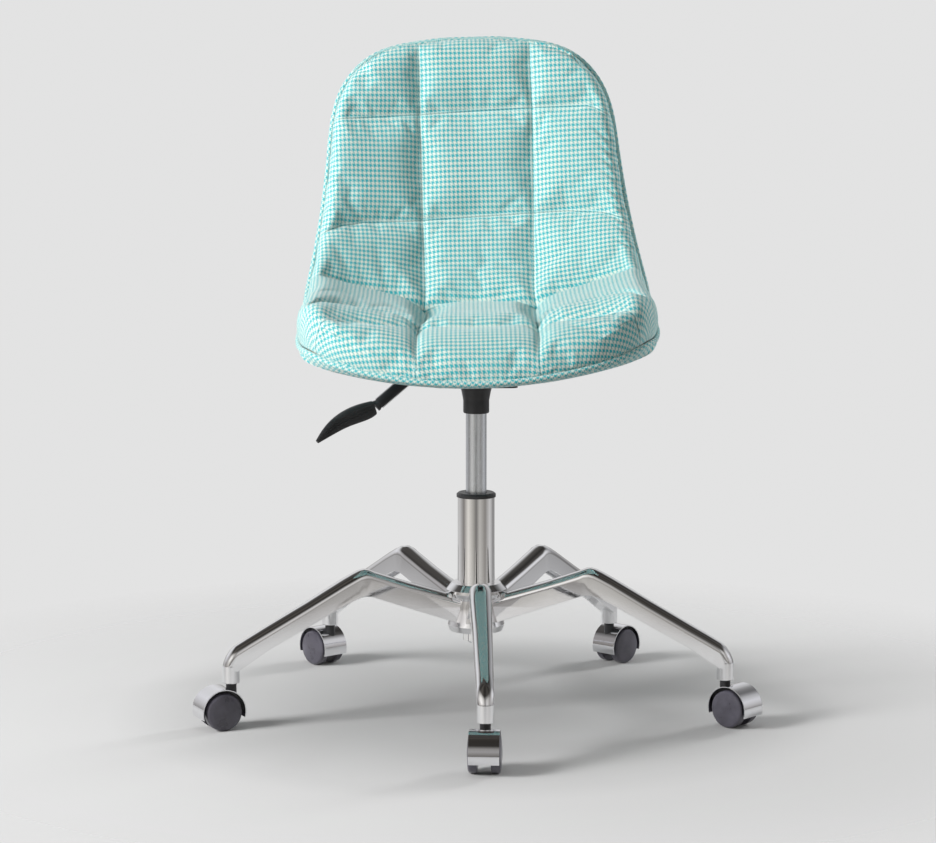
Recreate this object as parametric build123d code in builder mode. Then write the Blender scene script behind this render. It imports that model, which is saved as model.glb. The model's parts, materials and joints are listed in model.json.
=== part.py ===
"""Swivel desk chair: upholstered one-piece seat shell on a gas column and a five-star base.

Millimetres, +Z up. The origin is on the floor on the column's axis and the seat faces -Y.
"""
import os
from math import cos, radians, sin, sqrt

from build123d import *

# five-star base
LEG_COUNT = 5
LEG_START = -88.25          # direction of the front leg, counter-clockwise from +X
STEM_CIRCLE_R = 344.0
LEG_HALF_ROOT = 14.5
LEG_HALF_TIP = 11.5
LEG_ROUND = 12.0
LEG_WALL = 3.5
HUB_TOP = 185.0
SOCKET_BOTTOM = 72.0
BASE_DROP = 11.5            # the frame above the casters stands this much lower than drawn

# gas column
TUBE_R = 25.0
TUBE_TOP = 302.0
TUBE_BOTTOM = 106.0
TUBE_WALL = 1.6
CAP_R = 26.5
CAP_TOP = 308.0
CYLINDER_R = 14.0
CYLINDER_BOTTOM = 226.0
CYLINDER_TOP = 462.0
CYLINDER_BORE_R = 12.5
ROD_R = 5.0
PISTON_Z = 240.0
RUN = 0.05                  # radial clearance of every running fit

# casters
WHEEL_R = 25.0
TRAIL = 17.0
TRAIL_DIRECTIONS = (-93.0, -41.8, 48.3, 130.5, 205.8)
WEB_HALF = 7.5
WHEEL_INNER = 8.6
WHEEL_OUTER = 22.2
HOOD_R = 30.5
HOOD_THICK = 1.2
HOOD_HALF = 19.5
HOOD_LOW = 16.6
NECK_R = 7.0
NECK_TOP = 60.4
STEM_R = 5.5
PINTLE_R = 4.0
AXLE_R = 3.0

# seat, in its own frame, which leans a little sideways on the column
SEAT_ROLL = 1.4
SEAT_SHIFT = 3.5
SECTION_HALF = 240.0
LAYER_GAP = 1.5
WELT_GROW = 2.5
WELT_INSET = 7.0
SHELL_INSET = 8.0

# mechanism under the seat
HOUSING_X = 55.0
HOUSING_Y = 45.0
HOUSING_Z = (454.5, 474.0)
HOUSING_WALL = 2.5
PLATE_X = 85.0
PLATE_Y = 70.0
PLATE_THICK = 3.0
BOLTS = [(x, y) for x in (-72.0, 72.0) for y in (-57.0, 57.0)]
DOUBLER_X = 94.0
DOUBLER_Y = (-84.0, 76.0)
PIVOT = (-44.0, 466.3)

os.makedirs("parts", exist_ok=True)


def finish(builder, name, drop=BASE_DROP):
    """Set one finished piece at its height, label it and write it."""
    piece = builder.part.moved(Location((0, 0, -drop)))
    piece.label = name
    export_step(piece, "parts/" + name + ".step")


# ---------------------------------------------------------------- five-star base
LEG_SECTIONS = [  # radius, underside, crest
    (26, 131, 168), (100, 157.5, 192.5), (146, 174, 209), (153, 176.5, 212), (160, 177.4, 213),
    (167, 176.6, 211.4), (176, 173.5, 207.5), (190, 167.5, 200.5), (240, 142, 173),
    (296, 114, 143.5), (320, 99, 130.8), (338, 88, 121), (344, 88, 115.8), (349.5, 88, 108.5),
    (353.2, 88, 101), (354.8, 88, 95),
]


def half_width(x):
    """Half the leg's width at a radius, drawn in round the stem socket."""
    if x > STEM_CIRCLE_R:
        return sqrt(LEG_HALF_TIP ** 2 - (x - STEM_CIRCLE_R) ** 2)
    along = min(max((x - 160) / (STEM_CIRCLE_R - 160), 0), 1)
    return LEG_HALF_ROOT + (LEG_HALF_TIP - LEG_HALF_ROOT) * along


def leg_outline(x, low, high):
    """Section of the leg, flat-sided with a rounded crest."""
    w = half_width(x)
    tall = min(LEG_ROUND, high - low - 1)
    crest = [(w * cos(radians(a)), high - tall + tall * sin(radians(a)))
             for a in (0, 16, 32, 48, 64, 79, 101, 116, 132, 148, 164, 180)]
    return [(-w, low), (w, low)] + crest


with BuildPart() as channel:
    for x, low, high in LEG_SECTIONS[1:11]:
        w = half_width(x) - LEG_WALL
        with BuildSketch(Plane.YZ.offset(x)):
            Polygon((-w, low - 30), (w, low - 30), (w, high - 11.5), (w - 4, high - 6.5),
                    (4 - w, high - 6.5), (-w, high - 11.5), align=None)
    loft(ruled=True)

with BuildPart() as leg:
    for x, low, high in LEG_SECTIONS:
        with BuildSketch(Plane.YZ.offset(x)):
            Polygon(*leg_outline(x, low, high), align=None)
    loft(ruled=True)
    add(channel.part, mode=Mode.SUBTRACT)
    with BuildSketch(Plane.XY.offset(SOCKET_BOTTOM)):
        with Locations((STEM_CIRCLE_R, 0)):
            Circle(LEG_HALF_TIP)
    extrude(amount=23)
    with BuildSketch(Plane.XY.offset(SOCKET_BOTTOM - 1)):
        with Locations((STEM_CIRCLE_R, 0)):
            Circle(STEM_R)
    extrude(amount=27, mode=Mode.SUBTRACT)

with BuildPart() as star_base:
    with BuildSketch(Plane.XZ):
        Polygon((20, 119), (36, 120), (38.5, 128), (32, 148), (30, 163), (39, 168), (42, 173),
                (41.5, 177), (33, HUB_TOP), (20, HUB_TOP), align=None)
    revolve(axis=Axis.Z)
    with PolarLocations(0, LEG_COUNT, start_angle=LEG_START):
        add(leg.part)
    with BuildSketch(Plane.XY.offset(100)):
        Circle(TUBE_R)
    extrude(amount=100, mode=Mode.SUBTRACT)
finish(star_base, "star_base")

# ---------------------------------------------------------------- column
with BuildPart() as column_tube:
    with BuildSketch(Plane.XZ):
        Polygon((6.5, TUBE_BOTTOM), (18, TUBE_BOTTOM), (18, 117), (TUBE_R, 122),
                (TUBE_R, TUBE_TOP), (TUBE_R - TUBE_WALL, TUBE_TOP), (TUBE_R - TUBE_WALL, 123),
                (16, 118), (16, TUBE_BOTTOM + 3), (6.5, TUBE_BOTTOM + 3), align=None)
    revolve(axis=Axis.Z)
finish(column_tube, "column_tube")

with BuildPart() as guide_sleeve:
    with BuildSketch(Plane.XY.offset(206)):
        Circle(TUBE_R - TUBE_WALL)
        Circle(CYLINDER_R + RUN, mode=Mode.SUBTRACT)
    extrude(amount=94)
finish(guide_sleeve, "guide_sleeve")

with BuildPart() as column_cap:
    with BuildSketch(Plane.XZ):
        Polygon((14.6, 300), (TUBE_R - TUBE_WALL, 300), (TUBE_R - TUBE_WALL, TUBE_TOP),
                (CAP_R, TUBE_TOP), (CAP_R, CAP_TOP - 2), (CAP_R - 2.5, CAP_TOP),
                (14.6, CAP_TOP), align=None)
    revolve(axis=Axis.Z)
finish(column_cap, "column_cap")

with BuildPart() as piston_rod:
    with BuildSketch(Plane.XY.offset(101)):
        Circle(ROD_R)
    extrude(amount=PISTON_Z - 101)
    with BuildSketch(Plane.XY.offset(PISTON_Z)):
        Circle(CYLINDER_BORE_R - RUN)
    extrude(amount=12)
finish(piston_rod, "piston_rod")

with BuildPart() as retaining_clip:
    with BuildSketch(Plane.XY.offset(102.5)):
        Circle(10)
        Circle(ROD_R, mode=Mode.SUBTRACT)
    extrude(amount=1.2)
    with BuildSketch(Plane.XY.offset(103.7)):
        Circle(8)
        Circle(ROD_R, mode=Mode.SUBTRACT)
    extrude(amount=1.9)
finish(retaining_clip, "retaining_clip")

with BuildPart() as thrust_bearing:
    with BuildSketch(Plane.XZ):
        Polygon((ROD_R, 109.3), (14.5, 109.3), (14.5, 110.6), (11.5, 110.6), (11.5, 112.8),
                (14.5, 112.8), (14.5, 114.1), (ROD_R, 114.1), align=None)
    revolve(axis=Axis.Z)
finish(thrust_bearing, "thrust_bearing")

with BuildPart() as bump_stop:
    with BuildSketch(Plane.XZ):
        Polygon((ROD_R, 114.1), (11, 114.1), (9.5, 119), (11, 124), (8.5, 128), (ROD_R, 128),
                align=None)
    revolve(axis=Axis.Z)
finish(bump_stop, "bump_stop")

with BuildPart() as gas_cylinder:
    with BuildSketch(Plane.XZ):
        Polygon((ROD_R + RUN, CYLINDER_BOTTOM), (CYLINDER_R - 1, CYLINDER_BOTTOM),
                (CYLINDER_R, CYLINDER_BOTTOM + 1.5), (CYLINDER_R, CYLINDER_TOP),
                (PINTLE_R + RUN, CYLINDER_TOP), (PINTLE_R + RUN, 442), (0, 442), (0, 438),
                (CYLINDER_BORE_R, 436), (CYLINDER_BORE_R, 233), (ROD_R + RUN, 232), align=None)
    revolve(axis=Axis.Z)
finish(gas_cylinder, "gas_cylinder")

with BuildPart() as valve_pin:
    with BuildSketch(Plane.XY.offset(446)):
        Circle(PINTLE_R)
    extrude(amount=20.2)
finish(valve_pin, "valve_pin")

with BuildPart() as taper_collar:
    with BuildSketch(Plane.XZ):
        Polygon((CYLINDER_R, 416), (16.8, 416), (17.5, 417.5), (17.5, 433), (19.5, 444),
                (22, 454.2), (CYLINDER_R, 454.2), align=None)
    revolve(axis=Axis.Z)
finish(taper_collar, "taper_collar")

# ---------------------------------------------------------------- mechanism
with BuildPart() as mechanism_housing:
    with BuildSketch(Plane.XY.offset(HOUSING_Z[0])):
        RectangleRounded(2 * HOUSING_X, 2 * HOUSING_Y, 8)
    extrude(amount=HOUSING_Z[1] - HOUSING_Z[0])
    with BuildSketch(Plane.XY.offset(HOUSING_Z[0] + HOUSING_WALL)):
        RectangleRounded(2 * (HOUSING_X - HOUSING_WALL), 2 * (HOUSING_Y - HOUSING_WALL), 5.5)
    extrude(amount=40, mode=Mode.SUBTRACT)
    with BuildSketch(Plane.XY.offset(HOUSING_Z[0])):
        Circle(CYLINDER_R + 4)
    extrude(amount=6)
    with BuildSketch(Plane.XY.offset(HOUSING_Z[0] - 1)):
        Circle(CYLINDER_R)
    extrude(amount=30, mode=Mode.SUBTRACT)
    with BuildSketch(Plane.XZ.offset(-HOUSING_Y - 5)):
        with Locations(PIVOT):
            Circle(AXLE_R)
    extrude(amount=2 * HOUSING_Y + 10, mode=Mode.SUBTRACT)
    with BuildSketch(Plane.YZ.offset(-HOUSING_X - 5)):
        with Locations((0, 468)):
            Rectangle(18, 20)
    extrude(amount=12, mode=Mode.SUBTRACT)
finish(mechanism_housing, "mechanism_housing")

with BuildPart() as mount_plate:
    with BuildSketch(Plane.XY.offset(HOUSING_Z[1])):
        RectangleRounded(2 * PLATE_X, 2 * PLATE_Y, 12)
        with Locations(*BOLTS):
            Circle(3.3, mode=Mode.SUBTRACT)
    extrude(amount=PLATE_THICK)
finish(mount_plate, "mount_plate")

with BuildPart() as mount_bolts:
    with BuildSketch(Plane.XY.offset(HOUSING_Z[1] - 4)):
        with Locations(*BOLTS):
            RegularPolygon(5.5, 6)
    extrude(amount=4)
    with BuildSketch(Plane.XY.offset(HOUSING_Z[1] - 4)):
        with Locations(*BOLTS):
            Circle(3)
    extrude(amount=14)
finish(mount_bolts, "mount_bolts")

with BuildPart() as t_nuts:
    with BuildSketch(Plane.XY.offset(478)):
        with Locations(*BOLTS):
            Circle(5)
            Circle(3, mode=Mode.SUBTRACT)
    extrude(amount=6)
finish(t_nuts, "t_nuts")

with BuildPart() as lever_pivot:
    with BuildSketch(Plane.XZ.offset(-HOUSING_Y)):
        with Locations(PIVOT):
            Circle(AXLE_R)
    extrude(amount=2 * HOUSING_Y)
finish(lever_pivot, "lever_pivot")

# ---------------------------------------------------------------- height lever
SLEEVE_A = Vector(-92, -3.2, 461.6)
SLEEVE_B = Vector(-132, -14, 428.5)
SLEEVE_DIR = (SLEEVE_B - SLEEVE_A).normalized()

with BuildPart() as lever_rod:
    with BuildLine() as rod_path:
        Line((6, 0, 470.3), (PIVOT[0], 0, PIVOT[1]))
        Line((PIVOT[0], 0, PIVOT[1]), (-66, 0, 464.6))
        Spline((-66, 0, 464.6), SLEEVE_A, tangents=((-1, 0, -0.08), SLEEVE_DIR))
        Line(SLEEVE_A, SLEEVE_B)
    with BuildSketch(Plane(origin=(6, 0, 470.3), x_dir=(0, 1, 0), z_dir=(-50, 0, -4))):
        Circle(AXLE_R)
    sweep(path=rod_path.wires()[0], transition=Transition.ROUND)
    with BuildSketch(Plane.XZ.offset(-9)):
        with Locations(PIVOT):
            Circle(7)
    extrude(amount=18)
    with BuildSketch(Plane.XZ.offset(-12)):
        with Locations(PIVOT):
            Circle(AXLE_R + RUN)
    extrude(amount=24, mode=Mode.SUBTRACT)
finish(lever_rod, "lever_rod")

RIB_PITCH = 2.1
RIB_COUNT = 24
SLEEVE_LENGTH = (SLEEVE_B - SLEEVE_A).length
sleeve_side = SLEEVE_DIR.cross(Vector(0, 0, 1)).normalized()
sleeve_plane = Plane(origin=SLEEVE_A, x_dir=SLEEVE_DIR, z_dir=sleeve_side)
rib_profile = [(0, AXLE_R), (0, 6.6)]
for i in range(RIB_COUNT):
    s = i * RIB_PITCH
    rib_profile += [(s + 0.5, 6.6), (s + 0.8, 8.0), (s + 1.8, 8.0), (s + RIB_PITCH, 6.6)]
rib_profile += [(SLEEVE_LENGTH, 6.6), (SLEEVE_LENGTH, AXLE_R)]
with BuildPart() as lever_sleeve:
    with BuildSketch(sleeve_plane):
        Polygon(*rib_profile, align=None)
    revolve(axis=Axis(SLEEVE_A, SLEEVE_DIR))
finish(lever_sleeve, "lever_sleeve")

with BuildPart() as lever_ferrule:
    with BuildSketch(Plane(origin=SLEEVE_B, x_dir=sleeve_side, z_dir=SLEEVE_DIR)):
        Circle(7.6)
        Circle(AXLE_R, mode=Mode.SUBTRACT)
    extrude(amount=3.6)
finish(lever_ferrule, "lever_ferrule")

HANDLE = [  # centre of each section, its height and its thickness
    ((-137.0, -16.4, 424.8), 19.0, 13.0),
    ((-155.0, -24.0, 418.5), 24.0, 13.0),
    ((-176.0, -36.0, 411.0), 22.0, 11.0),
    ((-191.0, -45.0, 402.0), 18.0, 9.0),
    ((-202.0, -52.0, 393.0), 12.0, 7.0),
    ((-211.0, -58.0, 384.5), 5.0, 4.0),
]


def handle_plane(i):
    """Plane across the handle at section i."""
    before = Vector(*HANDLE[max(i - 1, 0)][0])
    after = Vector(*HANDLE[min(i + 1, len(HANDLE) - 1)][0])
    along = (after - before).normalized()
    side = along.cross(Vector(0, 0, 1)).normalized()
    return Plane(origin=Vector(*HANDLE[i][0]), x_dir=side, z_dir=along)


with BuildPart() as lever_handle:
    for i, (_, tall, thick) in enumerate(HANDLE):
        with BuildSketch(handle_plane(i)):
            RectangleRounded(thick, tall, thick * 0.42)
    loft()
finish(lever_handle, "lever_handle")

# ---------------------------------------------------------------- casters
for number in range(LEG_COUNT):
    stem_angle = radians(LEG_START + number * 360 / LEG_COUNT)
    sx = STEM_CIRCLE_R * cos(stem_angle)
    sy = STEM_CIRCLE_R * sin(stem_angle)
    turn = radians(TRAIL_DIRECTIONS[number])
    forward = Vector(cos(turn), sin(turn), 0)
    across = Vector(-sin(turn), cos(turn), 0)
    stem_at = Vector(sx, sy, 0)
    wheel_at = stem_at + forward * TRAIL + Vector(0, 0, WHEEL_R)
    side_plane = Plane(origin=stem_at, x_dir=forward, z_dir=across * -1)
    tag = "_" + str(number + 1)

    with BuildPart() as stem:
        with BuildSketch(Plane(origin=(sx, sy, 0)).offset(SOCKET_BOTTOM)):
            Circle(STEM_R)
        extrude(amount=25)
        with BuildSketch(Plane(origin=(sx, sy, 0)).offset(40)):
            Circle(PINTLE_R)
        extrude(amount=33)
    finish(stem, "caster_stem" + tag)

    with BuildPart() as body:
        with BuildSketch(side_plane):
            with Locations((TRAIL, WHEEL_R)):
                Circle(HOOD_R - HOOD_THICK)
            with Locations((TRAIL, -18)):
                Rectangle(80, 80, mode=Mode.SUBTRACT)
            with Locations((TRAIL, WHEEL_R)):
                Circle(12)
        extrude(amount=WEB_HALF, both=True)
        with BuildSketch(Plane(origin=(sx, sy, 0)).offset(25)):
            Circle(NECK_R)
        extrude(amount=NECK_TOP - 25)
        with BuildSketch(Plane(origin=(sx, sy, 0)).offset(28)):
            Circle(PINTLE_R + RUN)
        extrude(amount=50, mode=Mode.SUBTRACT)
        with BuildSketch(side_plane):
            with Locations((TRAIL, WHEEL_R)):
                Circle(AXLE_R)
        extrude(amount=20, both=True, mode=Mode.SUBTRACT)
    finish(body, "caster_body" + tag, 0)

    with BuildPart() as hood:
        with BuildSketch(side_plane):
            with Locations((TRAIL, WHEEL_R)):
                Circle(HOOD_R)
                Circle(HOOD_R - HOOD_THICK, mode=Mode.SUBTRACT)
            with Locations((TRAIL, HOOD_LOW - 40)):
                Rectangle(100, 80, mode=Mode.SUBTRACT)
        extrude(amount=HOOD_HALF, both=True)
        with BuildSketch(Plane(origin=(sx, sy, 0)).offset(34)):
            Circle(NECK_R)
        extrude(amount=40, mode=Mode.SUBTRACT)
    finish(hood, "caster_hood" + tag, 0)

    with BuildPart() as axle:
        with BuildSketch(side_plane):
            with Locations((TRAIL, WHEEL_R)):
                Circle(AXLE_R)
        extrude(amount=20, both=True)
    finish(axle, "caster_axle" + tag, 0)

    wheel_plane = Plane(origin=wheel_at, x_dir=across, z_dir=forward)
    for name, side in (("wheel_left", -1), ("wheel_right", 1)):
        with BuildPart() as wheel:
            with BuildSketch(wheel_plane):
                rim = [(20.4, 0), (20.4, AXLE_R + RUN), (WHEEL_INNER, AXLE_R + RUN),
                       (WHEEL_INNER, 24.2), (WHEEL_INNER + 0.8, WHEEL_R), (16.0, WHEEL_R),
                       (18.2, 24.6), (19.6, 23.6), (20.5, 22.0), (21.2, 17.0),
                       (21.8, 10.0), (WHEEL_OUTER, 4.0), (WHEEL_OUTER, 0)]
                Polygon(*[(side * x, y) for x, y in rim], align=None)
            revolve(axis=Axis(wheel_at, across))
        finish(wheel, name + tag, 0)

# ---------------------------------------------------------------- upholstered shell
# Sections run down the back, round the crease and forward to the seat's front edge. Each has a
# place on the sitting surface's centre line, a turn from straight down, the rise of its sides,
# and the depth of each layer's lower face at the centre and at the sides.
STATIONS = [
    # y, z, turn, rise, pad, pad side, shell, shell side, cover, cover side
    (209, 916, 10, 30, 26, 22, 33, 29, 41, 37),
    (200, 865, 11, 36, 38, 34, 47, 41, 56, 49),
    (187, 800, 13, 42, 42, 38, 52, 45, 62, 53),
    (172, 735, 15, 47, 44, 40, 54, 47, 64, 55),
    (154, 675, 19, 52, 46, 40, 57, 47, 69, 55),
    (133, 625, 27, 57, 48, 42, 60, 49, 76, 58),
    (107, 584, 43, 60, 50, 42, 62, 49, 86, 58),
    (72, 561, 65, 60, 50, 42, 62, 49, 91, 58),
    (30, 553, 82, 55, 52, 42, 64, 49, 92, 58),
    (-30, 551, 88, 48, 55, 49, 67, 56, 93, 63),
    (-85, 554, 90, 42, 62, 60, 74, 67, 93, 75),
    (-125, 553, 90, 40, 64, 63, 76, 70, 89, 77),
    (-160, 546, 90, 40, 60, 57, 71, 64, 78, 70),
    (-190, 535, 90, 38, 50, 48, 58, 55, 63, 59),
    (-212, 521, 90, 36, 35, 35, 41, 42, 46, 45),
    (-231, 503, 90, 40, 18, 23, 24, 30, 29, 32),
]
# Half outline from the front, and half outline of the seat from above.
BELL = [(236, 430), (236, 520), (229, 572), (221, 610), (212, 655), (197, 761), (180, 840),
        (146, 882), (78, 906), (0, 912)]
FRONT = [(236, 20), (236, -50), (232, -110), (212, -160), (168, -195), (98, -219), (0, -228)]


def seat_point(x, y, z):
    """A point of the seat's own frame, leaned and shifted on the column."""
    lean = radians(SEAT_ROLL)
    height = z - 450
    return Vector(SEAT_SHIFT + x * cos(lean) - height * sin(lean), y,
                  450 + x * sin(lean) + height * cos(lean))


def seat_plane(y, z, turn):
    """Plane across the shell, its Y pointing out of the sitting surface."""
    lean = radians(SEAT_ROLL)
    a = radians(turn)
    x_dir = Vector(cos(lean), 0, sin(lean))
    z_dir = Vector(sin(lean) * cos(a), -sin(a), -cos(lean) * cos(a))
    return Plane(origin=seat_point(0, y, z), x_dir=x_dir, z_dir=z_dir)


def band_outline(station, above, layer, gap):
    """Section of the shell from above the sitting surface down to one layer's lower face."""
    rise = station[3]
    low = -station[4 + layer] - gap
    low_side = rise - station[5 + layer] - gap
    ThreePointArc((-SECTION_HALF, rise + above), (0, above), (SECTION_HALF, rise + above))
    Line((SECTION_HALF, rise + above), (SECTION_HALF, low_side))
    ThreePointArc((SECTION_HALF, low_side), (0, low), (-SECTION_HALF, low_side))
    Line((-SECTION_HALF, low_side), (-SECTION_HALF, rise + above))


def bell_outline(grow):
    """Front outline of the shell, grown outwards."""
    half = [(x + grow, z) if z < 860 else (x + grow * x / 200, z + grow) for x, z in BELL]
    left = [(-x, z) for x, z in reversed(half[:-1])]
    Spline(*half, *left)
    Line(left[-1], half[0])


def front_outline(grow):
    """Plan outline of the shell, open to the back."""
    half = [(x + grow, y) if y > -150 else (x + grow * x / 230, y - grow) for x, y in FRONT]
    left = [(-x, y) for x, y in reversed(half[:-1])]
    Spline(*half, *left)
    Polyline(left[-1], (left[-1][0] - 10, 320), (half[0][0] + 10, 320), half[0])


FRONT_VIEW = seat_plane(400, 0, 90)
PLAN_VIEW = Plane(origin=seat_point(0, 0, 400), x_dir=FRONT_VIEW.x_dir, z_dir=FRONT_VIEW.y_dir)
DEPTHS = {"pad": 0, "shell": 2, "cover": 4}
slabs = {}
cutters = {}
for name, layer in DEPTHS.items():
    with BuildPart() as slab:
        for station in STATIONS:
            with BuildSketch(seat_plane(*station[:3])):
                with BuildLine():
                    band_outline(station, 0, layer, 0)
                make_face()
        loft()
    with BuildPart() as cutter:
        for station in STATIONS:
            with BuildSketch(seat_plane(*station[:3])):
                with BuildLine():
                    band_outline(station, 8, layer, LAYER_GAP)
                make_face()
        loft()
    slabs[name] = slab.part
    cutters[name] = cutter.part

columns = {}
for grow in (0, -SHELL_INSET, WELT_GROW, -WELT_INSET):
    with BuildPart() as column:
        with BuildSketch(FRONT_VIEW):
            with BuildLine():
                bell_outline(grow)
            make_face()
        extrude(amount=800)
        with BuildSketch(PLAN_VIEW):
            with BuildLine():
                front_outline(grow)
            make_face()
        extrude(amount=800, mode=Mode.INTERSECT)
    columns[grow] = column.part

with BuildPart() as seat_pad:
    add(slabs["pad"])
    add(columns[0], mode=Mode.INTERSECT)
finish(seat_pad, "seat_pad")

with BuildPart() as seat_shell:
    add(slabs["shell"])
    add(columns[-SHELL_INSET], mode=Mode.INTERSECT)
    add(cutters["pad"], mode=Mode.SUBTRACT)
    with BuildSketch(Plane.YZ.offset(-DOUBLER_X)):
        Polygon((DOUBLER_Y[0], 477.3), (DOUBLER_Y[1], 477.3), (DOUBLER_Y[1], 507), (30, 496),
                (-30, 489), (DOUBLER_Y[0], 484), align=None)
    extrude(amount=2 * DOUBLER_X)
    with BuildSketch(Plane.XY.offset(470)):
        with Locations(*BOLTS):
            Circle(3.3)
    extrude(amount=18.5, mode=Mode.SUBTRACT)
    with BuildSketch(Plane.XY.offset(478)):
        with Locations(*BOLTS):
            Circle(5)
    extrude(amount=6.5, mode=Mode.SUBTRACT)
finish(seat_shell, "seat_shell")

with BuildPart() as rear_cover:
    add(slabs["cover"])
    add(columns[0], mode=Mode.INTERSECT)
    add(cutters["shell"], mode=Mode.SUBTRACT)
    with BuildSketch(Plane.XY.offset(420)):
        with Locations((0, (DOUBLER_Y[0] + DOUBLER_Y[1]) / 2)):
            RectangleRounded(2 * DOUBLER_X + 4, DOUBLER_Y[1] - DOUBLER_Y[0] + 4, 2)
    extrude(amount=110, mode=Mode.SUBTRACT)
    with BuildSketch(Plane.XY.offset(420)):
        with Locations((-100, -5)):
            RectangleRounded(36, 40, 8)
    extrude(amount=58, mode=Mode.SUBTRACT)
finish(rear_cover, "rear_cover")

with BuildPart() as welt_piping:
    add(slabs["shell"])
    add(columns[WELT_GROW], mode=Mode.INTERSECT)
    add(cutters["pad"], mode=Mode.SUBTRACT)
    add(columns[-WELT_INSET], mode=Mode.SUBTRACT)
finish(welt_piping, "welt_piping")
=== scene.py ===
"""Looks of the upholstered swivel chair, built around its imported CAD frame. Metres, +Z up."""

import json
import math

import bmesh
import bpy
import numpy as np
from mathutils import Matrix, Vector


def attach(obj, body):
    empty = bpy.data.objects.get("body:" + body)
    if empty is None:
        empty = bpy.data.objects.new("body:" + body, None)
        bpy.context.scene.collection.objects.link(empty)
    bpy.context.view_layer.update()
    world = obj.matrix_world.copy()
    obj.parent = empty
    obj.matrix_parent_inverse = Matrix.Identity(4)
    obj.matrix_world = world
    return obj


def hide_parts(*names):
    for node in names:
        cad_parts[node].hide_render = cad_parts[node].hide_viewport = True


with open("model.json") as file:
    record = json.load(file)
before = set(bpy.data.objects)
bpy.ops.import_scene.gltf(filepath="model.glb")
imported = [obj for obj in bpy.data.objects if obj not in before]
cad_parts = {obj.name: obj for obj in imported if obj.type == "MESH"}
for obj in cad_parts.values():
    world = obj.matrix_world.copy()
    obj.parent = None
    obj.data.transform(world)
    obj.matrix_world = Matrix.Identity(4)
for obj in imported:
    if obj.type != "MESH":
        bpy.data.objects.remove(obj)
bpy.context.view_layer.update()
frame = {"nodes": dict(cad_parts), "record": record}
nodes = frame["nodes"]
scene = bpy.context.scene
scene.view_settings.view_transform = "Standard"

MM = 0.001
ACROSS, ALONG = 112, 216        # cells of the cover's grid
THREAD = (0.000725, 0.0009)     # width of one yarn across and along the cloth

# ------------------------------------------------------------------ the shell's surface
# The same sections as the CAD shell: place on the centre line, turn from straight down, rise of
# the sides, then the depth of each layer's lower face at the centre and at the sides. Millimetres.
STATIONS = np.array([
    (209, 916, 10, 30, 26, 22, 33, 29, 41, 37),
    (200, 865, 11, 36, 38, 34, 47, 41, 56, 49),
    (187, 800, 13, 42, 42, 38, 52, 45, 62, 53),
    (172, 735, 15, 47, 44, 40, 54, 47, 64, 55),
    (154, 675, 19, 52, 46, 40, 57, 47, 69, 55),
    (133, 625, 27, 57, 48, 42, 60, 49, 76, 58),
    (107, 584, 43, 60, 50, 42, 62, 49, 86, 58),
    (72, 561, 65, 60, 50, 42, 62, 49, 91, 58),
    (30, 553, 82, 55, 52, 42, 64, 49, 92, 58),
    (-30, 551, 88, 48, 55, 49, 67, 56, 93, 63),
    (-85, 554, 90, 42, 62, 60, 74, 67, 93, 75),
    (-125, 553, 90, 40, 64, 63, 76, 70, 89, 77),
    (-160, 546, 90, 40, 60, 57, 71, 64, 78, 70),
    (-190, 535, 90, 38, 50, 48, 58, 55, 63, 59),
    (-212, 521, 90, 36, 35, 35, 41, 42, 46, 45),
    (-231, 503, 90, 40, 18, 23, 24, 30, 29, 32),
], float)
# Half outline from the front, and half outline of the seat from above.
BELL = [(236, 430), (236, 520), (229, 572), (221, 610), (212, 655), (197, 761), (180, 840),
        (146, 882), (78, 906), (0, 912)]
FRONT = [(236, 20), (236, -50), (232, -110), (212, -160), (168, -195), (98, -219), (0, -228)]
SECTION_HALF = 240.0            # half width at which the rise and the side depths hold
SHELL_TOP = 912                 # highest point of the outline
SEAT_ROLL = math.radians(1.4)   # lean of the shell to one side
SEAT_SHIFT = 3.5
SEAT_DROP = 11.5                # the sections are drawn this much too high
ROLL_CENTRE = 450               # height the shell leans about


def spline(t, values, at):
    """Natural cubic spline through values at t, read at the places in at."""
    n = len(t)
    h = np.diff(t)
    a = np.zeros((n, n))
    b = np.zeros((n,) + values.shape[1:])
    a[0, 0] = a[-1, -1] = 1
    for i in range(1, n - 1):
        a[i, i - 1:i + 2] = h[i - 1], 2 * (h[i - 1] + h[i]), h[i]
        b[i] = 6 * ((values[i + 1] - values[i]) / h[i] - (values[i] - values[i - 1]) / h[i - 1])
    m = np.linalg.solve(a, b)
    k = np.clip(np.searchsorted(t, at) - 1, 0, n - 2)
    u = at - t[k]
    w = t[k + 1] - at
    hk = h[k]
    if values.ndim > 1:
        u, w, hk = u[:, None], w[:, None], hk[:, None]
    return (m[k] * w ** 3 + m[k + 1] * u ** 3) / (6 * hk) \
        + (values[k] / hk - m[k] * hk / 6) * w + (values[k + 1] / hk - m[k + 1] * hk / 6) * u


RUN = np.concatenate([[0], np.cumsum(np.hypot(*np.diff(STATIONS[:, :2], axis=0).T))])
FINE = np.linspace(0, RUN[-1], 900)
TABLE = spline(RUN, STATIONS, FINE)


def dense(points):
    """A smooth outline through given points of one half."""
    p = np.array(points + [(-x, y) for x, y in reversed(points[:-1])], float)
    t = np.concatenate([[0], np.cumsum(np.hypot(*np.diff(p, axis=0).T))])
    return spline(t, p, np.linspace(0, t[-1] / 2, 400))


BELL_LINE = dense(BELL)
FRONT_LINE = dense(FRONT)


def row(s):
    """Interpolated section values at run s."""
    return [np.interp(s, FINE, TABLE[:, i]) for i in range(TABLE.shape[1])]


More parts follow.
